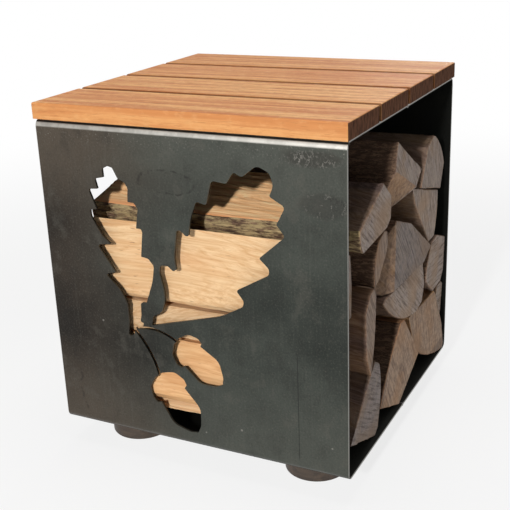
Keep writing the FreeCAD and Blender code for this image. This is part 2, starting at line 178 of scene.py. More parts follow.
# A paler tint that brightens the middle of log_17, painted light
PAINTED_LIGHT = (1.3, 1.2, 1.12)
FRESH = (1.0, 1.0, 1.0)
RUDDY = (1.0, 0.9, 0.8)
BROWN = (0.86, 0.78, 0.7)
DIM = (0.66, 0.68, 0.72)
LOG_LOOKS = {
    "log_01": LogLook(90, 0.10, (0.03, 0.02), (0.02, 0.03), (BROWN, BROWN), (0.7, 0.7), 0, 10),
    "log_02": LogLook(8, 0.13, (0.05, -0.03), (0.03, -0.02), (FRESH, DIM), (0.1, 0.95), 0, 60),
    "log_03": LogLook(141, 0.15, (-0.04, 0.02), (-0.05, 0.02), (RUDDY, RUDDY), (0.6, 0.6), 0, 25),
    "log_04": LogLook(252, 0.16, (0.03, 0.04), (-0.03, 0.02), (RUDDY, RUDDY), (0.5, 0.5), 0, 15),
    "log_05": LogLook(20, 0.10, (0.02, 0.05), (0.02, -0.04), (FRESH, FRESH), (0.8, 0.8), 0, 80),
    "log_06": LogLook(0, 0.14, (0.05, 0.03), (-0.02, 0.02), (RUDDY, RUDDY), (0.05, 0.9), 0, 0),
    "log_07": LogLook(-16, 0.12, (-0.03, 0.03), (0.04, 0.03), (BROWN, BROWN), (1.0, 1.0), 0, 30),
    "log_08": LogLook(245, 0.14, (0.03, -0.05), (-0.02, 0.03), (FRESH, FRESH), (0.9, 0.9), 0, 50),
    "log_09": LogLook(156, 0.15, (0.04, 0.02), (0.03, -0.02), (FRESH, FRESH), (1.0, 1.0), 0, 85),
    "log_10": LogLook(0, 0.10, (0.02, 0.04), (0.03, 0.03), (FRESH, FRESH), (0.2, 1.0), 0, 20),
    "log_11": LogLook(135, 0.17, (0.03, -0.03), (-0.02, 0.04), (RUDDY, DIM), (0.85, 0.85), 0, 35),
    "log_12": LogLook(0, 0.16, (0.0, -0.02), (0.02, 0.02), (FRESH, FRESH), (0.0, 0.9), 0, 5),
    "log_13": LogLook(171, 0.09, (-0.04, 0.03), (0.02, -0.03), (BROWN, BROWN), (0.9, 0.9), 0, 15),
    "log_14": LogLook(-14, 0.14, (0.03, 0.03), (-0.04, 0.02), (FRESH, FRESH), (0.85, 0.85), 0, 10),
    "log_15": LogLook(45, 0.15, (0.04, -0.03), (0.03, 0.03), (FRESH, FRESH), (0.9, 0.9), 0, 20),
    "log_16": LogLook(180, 0.15, (-0.04, 0.03), (0.04, 0.03), (FRESH, FRESH), (0.95, 0.95), 0, 40),
    "log_17": LogLook(213, 0.16, (0.1, 0.3), (0.02, -0.02), (PAINTED_LIGHT, FRESH), (0.0, 1.0), 1, 55),
}

# Breaks in the right ends of some logs: a point of each as Y and Z, and the slopes of the face that it leaves
BREAKS = {
    "log_16": ((0.02, 0.345), (-0.2, -0.45)),
    "log_11": ((-0.02, 0.26), (-0.55, 0.1)),
    "log_03": ((0.02, 0.06), (0.25, -0.5)),
}

# Stage: a pale floor that turns white away from the bench, and a pale surround that adds little light
FLOOR_SIZE = 24.0
FLOOR_LIFT = 0.8
FLOOR_WHITE = (0.5, 2.0)
AMBIENT = 0.08

# Lamps, all turned to one spot: one in front, and weaker ones above, at the right and behind, each with its
# place, size and power
LIT_SPOT = Vector((0, 0, 0.22))
LAMPS = {
    "key_lamp": (Vector((0.37, -3.0, 1.40)), 0.22, 77.0),
    "top_lamp": (Vector((0.0, 0.0, 2.6)), 1.4, 20.0),
    "fill_lamp": (Vector((3.0, -0.7, 0.6)), 1.6, 6.0),
    "back_lamp": (Vector((-0.3, 3.2, 1.3)), 1.4, 14.0),
}


def paint(red, green, blue):
    """A colour given as it looks, 0 to 255, turned into the linear colour that a shader takes."""
    def linear(level):
        level = level / 255
        return level / 12.92 if level <= 0.04045 else ((level + 0.055) / 1.055) ** 2.4

    return linear(red), linear(green), linear(blue), 1.0


class Wire:
    """A socket of a node tree. Arithmetic on wires adds Math nodes."""

    def __init__(self, nodes, socket):
        self.nodes = nodes
        self.socket = socket

    def maths(self, operation, *values):
        return self.nodes.add("ShaderNodeMath", {"operation": operation}, dict(enumerate(values)))

    def __add__(self, other):
        return self.maths("ADD", self, other)

    __radd__ = __add__

    def __sub__(self, other):
        return self.maths("SUBTRACT", self, other)

    def __rsub__(self, other):
        return self.maths("SUBTRACT", other, self)

    def __mul__(self, other):
        return self.maths("MULTIPLY", self, other)

    __rmul__ = __mul__

    def __truediv__(self, other):
        return self.maths("DIVIDE", self, other)

    def __pow__(self, other):
        return self.maths("POWER", self, other)

    def __abs__(self):
        return self.maths("ABSOLUTE", self)

    def sine(self):
        return self.maths("SINE", self)

    def cosine(self):
        return self.maths("COSINE", self)

    def floor(self):
        return self.maths("FLOOR", self)

    def at_most(self, other):
        return self.maths("MINIMUM", self, other)

    def at_least(self, other):
        return self.maths("MAXIMUM", self, other)

    def rise(self, low, high):
        """0 below low, 1 above high, smooth between. low may be the larger one."""
        settings = {"interpolation_type": "SMOOTHSTEP"}
        return self.nodes.add("ShaderNodeMapRange", settings, {0: self, 1: low, 2: high, 3: 0.0, 4: 1.0})

    def between(self, foot, top):
        """1 between a foot and a top, each a pair of where the mask is 0 and where it is 1."""
        return self.rise(*top) * self.rise(*foot)


class Nodes:
    """A node tree, and the way in which nodes are added to it."""

    def __init__(self, tree):
        self.tree = tree
        self.tree.nodes.clear()

    def add(self, kind, settings=None, inputs=None, output=0):
        """A new node with its settings, and values or wires on its sockets. Returns one of its outputs."""
        node = self.tree.nodes.new(kind)
        for name, value in (settings or {}).items():
            setattr(node, name, value)
        for key, value in (inputs or {}).items():
            if isinstance(value, Wire):
                self.tree.links.new(value.socket, node.inputs[key])
            else:
                node.inputs[key].default_value = value
        return Wire(self, node.outputs[output]) if node.outputs else None

    def seen_directly(self):
        """1 for rays from the camera, a mirror or glass, else 0."""
        kinds = ("Is Camera Ray", "Is Glossy Ray", "Is Transmission Ray")
        camera, mirror, glass = [self.add("ShaderNodeLightPath", output=kind) for kind in kinds]
        return camera.at_least(mirror).at_least(glass)


class Finish(Nodes):
    """One material that reads Object coordinates."""

    def __init__(self, name):
        self.material = bpy.data.materials.new(name)
        self.material.use_nodes = True
        super().__init__(self.material.node_tree)
        self.place = self.add("ShaderNodeTexCoord", output="Object")
        self.x, self.y, self.z = self.parts(self.place)

    def parts(self, vector):
        split = self.add("ShaderNodeSeparateXYZ", inputs={0: vector}).socket.node
        return [Wire(self, socket) for socket in split.outputs]

    def vector(self, x, y, z):
        return self.add("ShaderNodeCombineXYZ", inputs={0: x, 1: y, 2: z})

    def stretched(self, place, stretch):
        return self.add("ShaderNodeVectorMath", {"operation": "MULTIPLY"}, {0: place, 1: stretch})

    def noise(self, stretch, detail, roughness=0.55, place=None):
        """Soft noise around 0.5. stretch is how many blotches a metre holds along X, Y and Z."""
        where = self.stretched(place or self.place, stretch)
        inputs = {"Vector": where, "Scale": 1.0, "Detail": detail, "Roughness": roughness}
        return self.add("ShaderNodeTexNoise", inputs=inputs)

    def plates(self, stretch, place):
        """Distance to the nearest crack between irregular plates."""
        inputs = {"Vector": self.stretched(place, stretch), "Scale": 1.0}
        return self.add("ShaderNodeTexVoronoi", {"feature": "DISTANCE_TO_EDGE"}, inputs)

    def mix(self, share, first, second, blend="MIX"):
        settings = {"data_type": "RGBA", "blend_type": blend, "clamp_result": True}
        return self.add("ShaderNodeMix", settings, {0: share, 6: first, 7: second}, output=2)

    def layers(self, colour, *coats):
        """A colour under coats that are laid on in turn. Each coat is its share and its own colour."""
        for share, coat in coats:
            colour = self.mix(share, colour, coat)
        return colour

    def attribute(self, name, output="Fac"):
        return self.add("ShaderNodeAttribute", {"attribute_name": name}, output=output)

    def facing(self):
        """How far a face looks along X, Y and Z, without regard to the sense."""
        normal = self.add("ShaderNodeNewGeometry", output="True Normal")
        return [abs(part) for part in self.parts(normal)]

    def at_front(self, face):
        """1 on the front face that lies at this Y, 0 behind it."""
        fade_from, fade_to = FRONT_FADE
        return self.y.rise(face + fade_from, face + fade_to)

    def bump(self, height, distance, strength):
        inputs = {"Height": height, "Distance": distance, "Strength": strength}
        return self.add("ShaderNodeBump", inputs=inputs)

    def surface(self, **inputs):
        """Ends in one shader, whose sockets are named with _ for a space. Returns the material."""
        sockets = {name.replace("_", " "): value for name, value in inputs.items()}
        return self.shown(self.add("ShaderNodeBsdfPrincipled", inputs=sockets))

    def shown(self, shader):
        self.add("ShaderNodeOutputMaterial", inputs={"Surface": shader})
        return self.material


class Sheet(Finish):
    """Bare dark steel sheet: its noises and masks, and the coats that are made of them."""

    def __init__(self):
        super().__init__("rolled_steel")
        self.height = self.z - STEEL_LOW.z
        below_skin = (self.y - STEEL_LOW.y).at_most(STEEL_HIGH.y - self.y)
        below_skin = below_skin.at_most(self.height).at_most(STEEL_HIGH.z - self.z)
        self.inside = below_skin.rise(*STEEL_INSIDE)
        self.front = self.at_front(STEEL_LOW.y)
        self.clouds = self.noise((5, 5, 7), detail=5, roughness=0.6)
        self.mottle = self.noise((38, 38, 30), detail=4, roughness=0.6)
        self.grit = self.noise((420, 420, 420), detail=4, roughness=0.7)
        self.rolling = self.noise((260, 260, 7), detail=3, roughness=0.5)
        self.broken = self.noise((75, 75, 75), detail=3, roughness=0.6).rise(0.42, 0.6)
        self.patch = self.oval(RUST_PATCH).rise(1.15, 0.7) * self.front

    def oval(self, mark):
        """Distance from the middle of an oval mark on the front, 1 on its rim."""
        across = (self.x - mark.x) / mark.half_width
        up = (self.height - mark.z) / mark.half_height
        return (across * across + up * up) ** 0.5 + (self.mottle - 0.5) * mark.ragged

    def mill_scale(self):
        """Cloudy grey that turns brown to the left, paler toward the top and bottom as painted sheen, with
        blotches, rolling streaks and grit.
        """
        cloudy = self.clouds.rise(0.3, 0.7)
        leftward = (self.x + (self.clouds - 0.5) * BROWN_RAGGED).rise(*BROWN_SIDE)
        grey = self.mix(cloudy, paint(43, 47, 43), paint(69, 73, 67))
        brown = self.mix(cloudy, paint(28, 24, 20), paint(58, 50, 42))
        pale = self.mix(leftward, paint(84, 86, 79), paint(98, 88, 76))
        off_middle = abs(self.height - PANEL_MIDDLE) + (self.mottle - 0.5) * PANEL_RAGGED
        return self.layers(
            self.mix(leftward, grey, brown),
            # painted sheen: the steel is paler away from its middle height
            (off_middle.rise(*PANEL_SHEEN) * 0.6, pale),
            (self.mottle.rise(0.48, 0.72) * 0.3, paint(34, 33, 31)),
            (self.mottle.rise(0.46, 0.3) * 0.25, paint(98, 95, 87)),
            ((self.rolling - 0.5).rise(0.0, 0.3) * 0.12, paint(100, 100, 93)),
            (self.grit.rise(0.5, 0.75) * 0.35, paint(110, 107, 98)),
            (self.grit.rise(0.48, 0.28) * 0.35, paint(30, 29, 27)),
        )

    def front_marks(self):
        """Coats for a stain ring, a rusty patch, a scuff, light flecks, drips and a scratch on the front."""
        stain = self.oval(STAIN_RING)
        ring = abs(stain - 1.0).rise(0.12, 0.02) * self.broken * self.front
        curls = self.noise((150, 150, 120), detail=3, roughness=0.65)
        strokes = abs(curls - 0.5).rise(0.035, 0.012) * self.mottle.rise(0.44, 0.56)
        scuffed = self.oval(SCUFF).rise(1.2, 0.6) * self.front
        flecks = abs(curls - 0.62).rise(0.02, 0.008) * self.patch * 0.6
        flecks = flecks.at_least(strokes * scuffed)
        for spot in LIGHT_SPOTS:
            flecks = flecks.at_least(self.oval(spot).rise(1.2, 0.6) * self.front)
        sway = (self.noise((0, 0, 26), detail=3, roughness=0.6) - 0.5) * DRIP_SWAY
        drips = abs(self.x - DRIP_LINE + sway).rise(*DRIP_EDGE)
        drips = drips * self.height.between(DRIP_FOOT, DRIP_TOP) * self.broken * self.front
        scratch = abs(self.x - SCRATCH_LINE).rise(*SCRATCH_EDGE)
        scratch = scratch * self.height.between(SCRATCH_FOOT, SCRATCH_TOP) * self.front
        return (
            (stain.rise(1.05, 0.8) * self.front * 0.12, paint(42, 40, 38)),
            (ring * 0.55, paint(30, 28, 26)),
            (self.patch * 0.4, paint(40, 36, 33)),
            (self.patch * strokes * 0.5, paint(30, 27, 26)),
            (scuffed * 0.45, paint(46, 40, 36)),
            (flecks * 0.45, paint(160, 156, 148)),
            (drips * 0.5, paint(36, 32, 29)),
            (scratch * 0.6, paint(30, 30, 29)),
        )

    def edge_wear_and_painted_light(self):
        """Coats for the upper bend and top face, paler as painted reflection, the painted highlight on the
        bend, the rubbed band, the cut edges, and the inside darkened as painted shade.
        """
        outside = 1 - self.inside
        highlight_rightward = self.x.rise(*BEND_HIGHLIGHT_SIDE)
        bend_highlight = self.height.between(BEND_HIGHLIGHT_FOOT, BEND_HIGHLIGHT_TOP) * outside
        rubbed = self.height.rise(*RUBBED) * self.grit.rise(0.6, 0.68) * self.front
        edge_from, edge_to = STEEL_CUT_EDGE
        cut_edge = abs(self.x).rise(STEEL_HIGH.x - edge_from, STEEL_HIGH.x - edge_to)
        return (
            # painted reflection: a paler grey on the upper bend and the top face
            (self.height.rise(*UPPER_BEND_REFLECTION) * outside * 0.5, paint(116, 113, 112)),
            # painted highlight: a bright band along the bend, stronger to the right
            (bend_highlight * (0.4 + highlight_rightward * 0.3 + self.broken * 0.15), paint(214, 210, 202)),
            (rubbed * 0.6, paint(160, 157, 148)),
            (cut_edge * 0.6, paint(150, 147, 140)),
            # painted shade: the inside of the steel darkened nearly to black
            (self.inside * 0.85, paint(17, 16, 15)),
        )


def rolled_steel():
    """Bare dark sheet: cloudy mill scale, warmer at the left, with rings, drips and scuffs on the front."""
    steel = Sheet()
    colour = steel.layers(steel.mill_scale(), *steel.front_marks(), *steel.edge_wear_and_painted_light())
    rough = 0.36 + (steel.clouds - 0.5) * 0.18 + (steel.mottle - 0.5) * 0.14
    rough = rough + steel.patch * 0.12 + steel.inside * 0.5
    metal = 0.72 + steel.inside * 0.25
    relief = steel.mottle * 0.5 + steel.grit * 0.18 + steel.rolling * 0.2
    normal = steel.bump(relief, distance=0.0006, strength=0.5)
    return steel.surface(Base_Color=colour, Metallic=metal, Roughness=rough, Normal=normal)


def weld_bead():
    """A weld left as it was laid: ripples along the seam, blue-brown heat colour."""
    bead = Finish("weld_bead")
    wander = (bead.noise((60, 60, 60), detail=2) - 0.5) * WELD_WANDER
    ripple = (bead.x * WELD_RIPPLES + wander).sine()
    heat = bead.noise((30, 200, 200), detail=3)
    colour = bead.mix(heat.rise(0.35, 0.65), paint(88, 84, 86), paint(110, 96, 82))
    normal = bead.bump(ripple, distance=0.0005, strength=0.7)
    return bead.surface(Base_Color=colour, Metallic=0.8, Roughness=0.42 + ripple * 0.06, Normal=normal)


def bright_zinc():
    """Plated screws with a slightly cloudy shine."""
    zinc = Finish("bright_zinc")
    cloud = zinc.noise((300, 300, 300), detail=3)
    colour = zinc.mix(cloud, paint(176, 178, 176), paint(206, 207, 203))
    normal = zinc.bump(zinc.noise((1200, 1200, 1200), detail=2), distance=0.0002, strength=0.4)
    return zinc.surface(Base_Color=colour, Metallic=1.0, Roughness=0.26 + cloud * 0.16, Normal=normal)


def seat_board():
    """Oiled orange hardwood with fine straight grain along X and small pores."""
    board = Finish("seat_board")
    sway = (board.noise((5, 22, 22), detail=2) - 0.5) * BOARD_SWAY
    bent = board.vector(board.x, board.y + sway, board.z + sway)
    bands = board.noise((2.2, 75, 75), detail=4, roughness=0.55, place=bent)
    streaks = board.noise((6, 340, 340), detail=4, roughness=0.6, place=bent)
    fine = board.noise((16, 1500, 1500), detail=3, roughness=0.6, place=bent)
    pores = board.noise((55, 1300, 1300), detail=1, roughness=0.5, place=bent).rise(0.66, 0.74)
    figure = board.noise((85, 150, 150), detail=4, roughness=0.65)
    board_number = ((board.y - SEAT_FRONT + BOARD_MARGIN) / BOARD_PITCH).floor()
    tone = board.add("ShaderNodeTexWhiteNoise", {"noise_dimensions": "1D"}, {"W": board_number})
    along, across = board.facing()[:2]
    front = board.at_front(SEAT_FRONT)
    end = along.rise(0.75, 0.95)
    end_rings = board.noise((10, 420, 60), detail=4, roughness=0.65)
    end_colour = board.mix(end_rings.rise(0.32, 0.68), paint(62, 40, 28), paint(126, 86, 64))
    colour = board.layers(
        board.mix(bands.rise(0.36, 0.64), paint(208, 128, 68), paint(250, 192, 124)),
        (streaks.rise(0.48, 0.7) * 0.8, paint(184, 104, 54)),
        (streaks.rise(0.46, 0.2) * 0.55, paint(255, 210, 146)),
        (fine.rise(0.48, 0.7) * 0.55, paint(178, 104, 54)),
        (figure.rise(0.5, 0.72) * 0.4, paint(194, 116, 64)),
        (figure.rise(0.49, 0.3) * 0.35, paint(255, 212, 150)),
        (pores * 0.6, paint(112, 64, 34)),
        (tone * 0.25, paint(206, 122, 60)),
        # painted shade: faces that look along Y, other than the front, are darkened; these are the gaps
        # between boards and the rear face
        (across.rise(0.25, 0.7) * (1 - front) * 0.8, paint(84, 52, 34)),
        # painted shade: the front face gets a duller colour to offset the stronger lamp light it takes
        (front * 0.6, paint(206, 144, 92)),
        (end, end_colour),
    )
    rough = 0.5 + (streaks - 0.5) * 0.2 + pores * 0.15 + end * 0.45
    normal = board.bump(streaks * 0.5 + fine * 0.35 - pores * 0.6, distance=0.0007, strength=0.55)
    return board.surface(Base_Color=colour, Roughness=rough, Normal=normal, Specular_IOR_Level=0.12)


def dark_turned_foot():
    """Dark turned wood: faint grain along X and the rings that the lathe left."""
    foot = Finish("dark_turned_foot")
    grain = foot.noise((8, 160, 160), detail=4, roughness=0.6)
    patches = foot.noise((30, 30, 30), detail=3)
    lathe = (foot.z * LATHE_RINGS + (grain - 0.5) * LATHE_WANDER).sine()
    colour = foot.mix(grain.rise(0.3, 0.7), paint(48, 38, 30), paint(78, 64, 52))
    colour = foot.mix(patches.rise(0.5, 0.75) * 0.4, colour, paint(50, 41, 34))
    normal = foot.bump(lathe * 0.2 + grain, distance=0.0005, strength=0.5)
    return foot.surface(Base_Color=colour, Roughness=0.55 + (grain - 0.5) * 0.2, Normal=normal)


class LogWood(Finish):
    """Split wood, sawn ends and bark, told apart by the attributes that mark_log stores on each log."""

    def __init__(self):
        super().__init__("firewood")
        self.weather_and_shade = self.attribute("weather_and_shade")
        self.girth = self.attribute("girth")
        lengthwise = self.facing()[0]
        self.end = lengthwise.rise(*SAWN_FACING)
        self.torn = self.end * lengthwise.rise(*TORN_FACING)
        self.wave = self.noise((5, 26, 26), detail=3, roughness=0.5)
        self.patches = self.noise((4, 17, 17), detail=3, roughness=0.5)
        self.fuzz = self.noise((150, 150, 150), detail=5, roughness=0.7)
        self.lay_grain()
        self.lay_saw_marks()

    def lay_grain(self):
        """Fibres along the log, and rings around its pith with a few cracks through them."""
        off_arch = self.x + (self.girth - ARCH_GIRTH) * ARCH_SHIFT
        arch = off_arch * off_arch * ARCH_RISE
        sway = (self.wave - 0.5) * GRAIN_SWAY
        lift = arch * FIBRE_ARCH
        bent = self.vector(self.x, self.y + sway + lift, self.z + sway + lift)
        self.fibre = self.noise((5, 300, 300), detail=5, roughness=0.62, place=bent)
        self.hair = self.noise((18, 1300, 1300), detail=3, roughness=0.6, place=bent)
        pith_y, pith_z = self.parts(self.attribute("pith", "Vector"))[1:]
        aside = self.y - pith_y
        above = self.z - pith_z
        self.reach = (aside * aside + above * above) ** 0.5 + (self.wave - 0.5) * RING_SWAY - self.girth
        outward = self.vector((self.reach + arch * RING_ARCH) * RINGS_PER_METRE, self.x, 0.0)
        self.rings = self.noise((1, 1, 1), detail=2, roughness=0.5, place=outward)
        angle = above.maths("ARCTAN2", above, aside)
        kink = self.noise((70, 70, 70), detail=4, roughness=0.6)
        around = self.vector(angle * RAYS_PER_RADIAN + kink * RAY_KINK, self.girth * RAY_GIRTH, 0.0)
        rays = self.noise((1, 1, 1), detail=1, roughness=0.5, place=around)
        self.cracks = abs(rays - 0.5).rise(0.006, 0.001) * self.patches.rise(0.52, 0.6)

    def lay_saw_marks(self):
        """Scratches that the saw left, turned as each log says."""
        turn = self.attribute("saw_turn")
        across = self.y * turn.cosine() + self.z * turn.sine()
        along = self.z * turn.cosine() - self.y * turn.sine()
        self.saw = self.noise((290, 22, 1), detail=5, roughness=0.7, place=self.vector(across, along, 0.0))

    def split_side(self):
        """Pale split wood with rings, fine hairs, warm patches, pores and a redder band under the bark."""
        pores = self.noise((55, 420, 420), detail=2, roughness=0.5).rise(0.68, 0.76)
        red_band = self.reach.rise(*RED_BAND) * 0.6 * (1 - self.weather_and_shade)
        return self.layers(
            self.mix(self.fibre.rise(0.3, 0.68), paint(216, 170, 121), paint(239, 204, 159)),
            (self.rings.rise(0.5, 0.72) * 0.55, paint(205, 150, 98)),
            (self.hair.rise(0.52, 0.74) * 0.3, paint(186, 132, 86)),
            (self.patches.rise(0.5, 0.74) * 0.4, paint(224, 166, 116)),
            (self.wave.rise(0.62, 0.7) * 0.2, paint(176, 126, 86)),
            (pores * 0.6, paint(150, 100, 66)),
            (red_band, paint(206, 128, 76)),
        )

    def sawn_end(self):
        """Fuzzy sawn wood with rings, saw marks, patches, cracks and inner bark, browner where it is torn."""
        torn_fibres = self.mix(self.fuzz.rise(0.35, 0.65), paint(120, 84, 54), paint(176, 134, 92))
        return self.layers(
            self.mix(self.fuzz.rise(0.3, 0.7), paint(116, 97, 83), paint(206, 183, 159)),
            (self.rings.rise(0.45, 0.75) * 0.35, paint(140, 113, 90)),
            (self.saw.rise(0.46, 0.66) * 0.75, paint(100, 79, 66)),
            (self.patches.rise(0.42, 0.7) * 0.55, paint(182, 142, 106)),
            (self.cracks * 0.3, paint(66, 50, 41)),
            (self.reach.rise(*INNER_BARK) * 0.6, paint(78, 60, 48)),
            (self.torn * 0.7, torn_fibres),
        )

    def worn_and_shaded_wood(self):
        """The grey that weather gives to the sides and to the ends, also used as painted shade."""
        side = self.layers(
            self.mix(self.fibre.rise(0.35, 0.65), paint(84, 67, 64), paint(136, 114, 108)),
            (self.hair.rise(0.5, 0.7) * 0.6, paint(62, 48, 46)),
        )
        sawn = self.layers(
            self.mix(self.saw.rise(0.42, 0.66), paint(182, 170, 166), paint(92, 79, 75)),
            (self.patches.rise(0.45, 0.62) * 0.55, paint(158, 132, 106)),
            (self.fuzz.rise(0.54, 0.72) * 0.6, paint(78, 63, 56)),
        )
        return self.mix(self.end, side, sawn)

    def rind(self):
        """Colour and relief of the bark: furrowed plates, flakes and lichen."""
        flakes = self.noise((90, 260, 260), detail=4, roughness=0.65)
        shift = (flakes - 0.5) * FLAKE_SHIFT
        shifted = self.vector(self.x + shift * FLAKE_STRETCH, self.y + shift, self.z + shift)
        furrows = self.plates((26, 260, 260), shifted)
        spread = self.noise((60, 190, 190), detail=5, roughness=0.7).rise(0.38, 0.6)
        colour = self.layers(
            self.mix(furrows.rise(0.0, 0.25), paint(78, 58, 46), paint(132, 105, 84)),
            (flakes.rise(0.45, 0.7) * 0.5, paint(86, 65, 52)),
            (spread * self.attribute("lichen") * 0.8, paint(206, 182, 134)),
        )
        return colour, furrows.at_most(0.3) * 2 + flakes * 0.6


def firewood():
    """One finish for all logs: split sides, sawn ends, the grey of the weather with painted shade, rims
    darkened as painted shade, and bark.
    """
    wood = LogWood()
    blotches = wood.noise((9, 30, 30), detail=4, roughness=0.6).rise(0.3, 0.65)
    # The weather greys the wood; its rise toward the right ends is painted shade
    grey_and_shade = wood.weather_and_shade * (0.7 + 0.3 * blotches) * (1 - wood.end * 0.35) * (1 - wood.torn * 0.75)
    colour = wood.mix(wood.end, wood.split_side(), wood.sawn_end())
    colour = wood.mix(grey_and_shade * 0.96, colour, wood.worn_and_shaded_wood())
    # The tint adds painted light to the middle of log_17 and painted shade to some right ends
    colour = wood.mix(1.0, colour, wood.attribute("tint", "Color"), "MULTIPLY")
    rind, rind_relief = wood.rind()
    rind_here = wood.attribute("bark").rise(0.35, 0.65) * (1 - wood.end)
    colour = wood.layers(
        colour,
        # painted shade: rims where the sides meet the sawn ends are darkened
        (wood.attribute("rim") * 0.5, paint(44, 33, 26)),
        (rind_here, rind),
    )
    split_relief = wood.fibre * 0.7 + wood.hair * 0.25 - wood.rings * 0.2
    end_relief = wood.saw * 0.5 + wood.fuzz * 0.4 - wood.cracks * 0.15 + wood.rings * 0.15
    relief = split_relief * (1 - wood.end) * (1 - rind_here) + end_relief * wood.end
    relief = relief + rind_relief * rind_here
    rough = 0.72 + (wood.fibre - 0.5) * 0.2 + rind_here * 0.1
    normal = wood.bump(relief, distance=0.0016, strength=0.75)
    return wood.surface(Base_Color=colour, Roughness=rough, Normal=normal, Specular_IOR_Level=0.25)


def work_on(piece):
    """Leaves one piece selected and active."""
    bpy.ops.object.select_all(action="DESELECT")
    piece.select_set(True)
    bpy.context.view_layer.objects.active = piece


def pick(piece, kind, test):
    """Selects, in edit mode, only the edges or faces that pass the test. Returns their number."""
    bpy.ops.mesh.select_mode(type=kind)
    bpy.ops.mesh.select_all(action="DESELECT")
    mesh = bmesh.from_edit_mesh(piece.data)
    chosen = [item for item in (mesh.edges if kind == "EDGE" else mesh.faces) if test(item)]
    for item in chosen:
        item.select_set(True)
    bmesh.update_edit_mesh(piece.data)
    return len(chosen)


def cut(point, normal, **settings):
    """Cuts all of the mesh in edit mode along a plane."""
    bpy.ops.mesh.select_all(action="SELECT")
    bpy.ops.mesh.bisect(plane_co=point, plane_no=normal, **settings)


def is_end(face):
    return abs(face.normal.x) > END_FACING


def saw_plane(low, high, sense, slopes):
    """A point and the normal of a slanted saw cut, which spares one corner of an end."""
    normal = Vector((sense, slopes[0], slopes[1])).normalized()
    corner = Vector((
        high.x if sense > 0 else low.x,
        low.y if slopes[0] > 0 else high.y,
        low.z if slopes[1] > 0 else high.z,
    ))
    return corner, normal


def saw_ends(name, low, high):
    """Takes the ends off a log in edit mode, and a break where it has one."""
    look = LOG_LOOKS[name]
    planes = [saw_plane(low, high, -1, look.left_cut), saw_plane(low, high, 1, look.right_cut)]
    if name in BREAKS:
        (break_y, break_z), slopes = BREAKS[name]
        planes.append(((high.x, break_y, break_z), (1, *slopes)))
    for point, normal in planes:
        cut(point, normal, use_fill=True, clear_outer=True)


def cut_rows(piece, low, high):
    """Rows for the reliefs: cuts at steps along X, then edges across that are halved until they are short."""
    rows = int((high.x - low.x) / ROW_ALONG)
    for row in range(1, rows):
        cut((low.x + (high.x - low.x) * row / rows, 0, 0), (1, 0, 0))

    def long_across(edge):
        run = edge.verts[1].co - edge.verts[0].co
        return run.length > ROW_ACROSS and abs(run.x) < run.length / 2

    while pick(piece, "EDGE", long_across):
        bpy.ops.mesh.subdivide(number_cuts=1)


def shade(piece):
    """Smooth sides, flat ends, and no face left with many corners."""
    bpy.ops.object.shade_smooth_by_angle(angle=SMOOTH_ANGLE)
    bpy.ops.object.mode_set(mode="EDIT")
    pick(piece, "FACE", lambda face: len(face.verts) > END_FACE_CORNERS)
    bpy.ops.mesh.faces_shade_flat()
    pick(piece, "FACE", lambda face: len(face.verts) > QUAD_CORNERS or is_end(face))
    bpy.ops.mesh.quads_convert_to_tris(ngon_method="BEAUTY")
    bpy.ops.object.mode_set(mode="OBJECT")


def split_log(name, finish, reliefs):
    """One log from a copy of its solid: saw cuts, rows across and along, then fibres and bark pressed in."""
    low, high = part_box(name)
    piece = bpy.data.objects.new(name + "_split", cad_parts[name].data.copy())
    bpy.context.scene.collection.objects.link(piece)
    work_on(piece)
    bpy.ops.object.mode_set(mode="EDIT")
    bpy.ops.mesh.select_all(action="SELECT")
    bpy.ops.mesh.remove_doubles(threshold=MERGE_DISTANCE)
    bpy.ops.mesh.dissolve_limited(angle_limit=FLAT_ANGLE)
    saw_ends(name, low, high)
    pick(piece, "FACE", is_end)
    bpy.ops.mesh.inset(thickness=RIM_WIDTH, depth=0.0)
    bpy.ops.mesh.remove_doubles(threshold=RIM_MERGE)
    cut_rows(piece, low, high)
    bpy.ops.mesh.select_all(action="SELECT")
    bpy.ops.mesh.normals_make_consistent(inside=False)
    bpy.ops.object.mode_set(mode="OBJECT")
    mark_log(piece, LOG_LOOKS[name])
    press(piece, reliefs["waves"], "split_side", WAVE_DEPTH)
    press(piece, reliefs["fibres"], "split_side", FIBRE_DEPTH)
    press(piece, reliefs["bark"], "bark_side", BARK_DEPTH)
    press(piece, reliefs["ragged"], "left_rim", RIM_DEPTH, "X", RIM_LEVEL)
    press(piece, reliefs["ragged"], "right_rim", -RIM_DEPTH, "X", RIM_LEVEL)
    shade(piece)
    piece.data.materials.clear()
    piece.data.materials.append(finish)
    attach(piece, name)
    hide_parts(name)


def log_sides(mesh, outward):
    """The vertices of the bark side, the split sides and the ends. A vertex may be in several of them."""
    bark_side = set()
    split_side = set()
    ends = set()
    for face in mesh.polygons:
        if is_end(face):
            ends.update(face.vertices)
        elif Vector((0, face.normal.y, face.normal.z)).angle(outward) < BARK_HALF_TURN:
            bark_side.update(face.vertices)
        else:
            split_side.update(face.vertices)
    return bark_side, split_side, ends


def store(mesh, name, kind, values):
    """Stores values of one kind, vertex by vertex, for the finish to read."""
    key = {"FLOAT": "value", "FLOAT_VECTOR": "vector", "FLOAT_COLOR": "color"}[kind]
    mesh.attributes.new(name, kind, "POINT").data.foreach_set(key, values)


